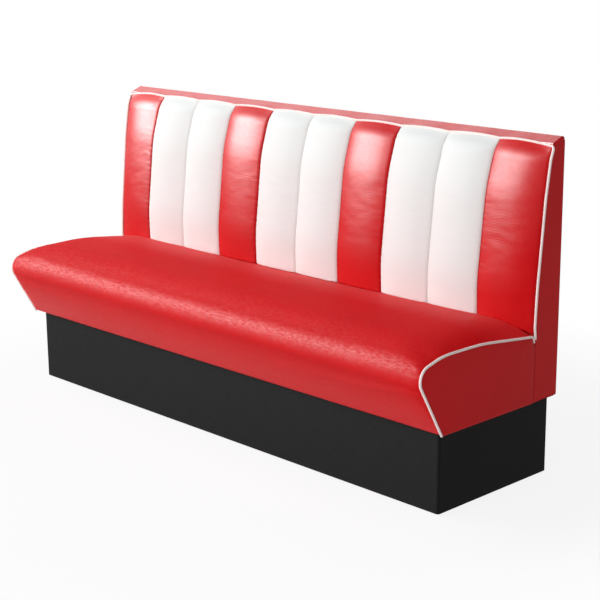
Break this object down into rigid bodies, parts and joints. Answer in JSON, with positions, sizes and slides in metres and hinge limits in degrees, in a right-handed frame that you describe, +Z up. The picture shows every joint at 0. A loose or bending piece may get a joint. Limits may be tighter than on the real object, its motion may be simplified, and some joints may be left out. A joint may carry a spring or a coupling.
{
  "type": "booth seating",
  "caption": "Single booth bench with a wrapped plinth, a crowned padded seat and an upright back with red and white upholstered channels and white piping.",
  "frame": {"origin": "on the floor, under the middle of the bench's whole length and depth", "axes": "+X along the bench, to the right as seen by someone facing it; +Y towards its back; +Z up"},
  "size_m": [1.8, 0.58, 0.94],
  "materials": {
    "red_vinyl": "gloss, fine grain",
    "white_vinyl": "satin, fine grain",
    "piping_vinyl": "satin",
    "black_vinyl": "satin, fine grain",
    "foam": "open cell",
    "plywood": "sanded",
    "softwood": "planed",
    "hardboard": "smooth",
    "black_cloth": "matt",
    "steel": "zinc plated",
    "glide_plastic": "moulded"
  },
  "bodies": {
    "root": {"back_base_foam": "foam", "back_bottom_cloth": "black_cloth", "back_bottom_rail": "softwood", "back_channel_01_red": "red_vinyl", "back_channel_02_white": "white_vinyl", "back_channel_03_white": "white_vinyl", "back_channel_04_red": "red_vinyl", "back_channel_05_white": "white_vinyl", "back_channel_06_white": "white_vinyl", "back_channel_07_red": "red_vinyl", "back_channel_08_white": "white_vinyl", "back_channel_09_white": "white_vinyl", "back_channel_10_red": "red_vinyl", "back_channel_foam": "foam", "back_inner_uprights": "softwood", "back_joint_rail": "softwood", "back_left_band": "red_vinyl", "back_left_upright": "softwood", "back_lower_panel": "plywood", "back_lumbar_rail": "softwood", "back_piping": "piping_vinyl", "back_rear_board": "hardboard", "back_rear_cover": "red_vinyl", "back_right_band": "red_vinyl", "back_right_upright": "softwood", "back_top_band": "red_vinyl", "back_top_rail": "softwood", "back_upper_panel": "plywood", "base_screws": "steel", "glide_nails": "steel", "plinth_cleats": "softwood", "plinth_corner_blocks": "softwood", "plinth_cross_boards": "plywood", "plinth_end_boards": "plywood", "plinth_end_wraps": "black_vinyl", "plinth_front_board": "plywood", "plinth_front_wrap": "black_vinyl", "plinth_glides": "glide_plastic", "plinth_rear_board": "plywood", "plinth_rear_wrap": "black_vinyl", "seat_bottom_cloth": "black_cloth", "seat_corner_blocks": "softwood", "seat_deck": "plywood", "seat_foam": "foam", "seat_front_batten": "softwood", "seat_left_end_board": "plywood", "seat_left_end_cover": "red_vinyl", "seat_left_piping": "piping_vinyl", "seat_nose_board": "plywood", "seat_rear_batten": "softwood", "seat_rear_rail": "softwood", "seat_ribs": "plywood", "seat_right_end_board": "plywood", "seat_right_end_cover": "red_vinyl", "seat_right_piping": "piping_vinyl", "seat_top_cover": "red_vinyl", "unit_bolts": "steel", "unit_nuts": "steel", "unit_washers": "steel"}
  },
  "joints": []
}
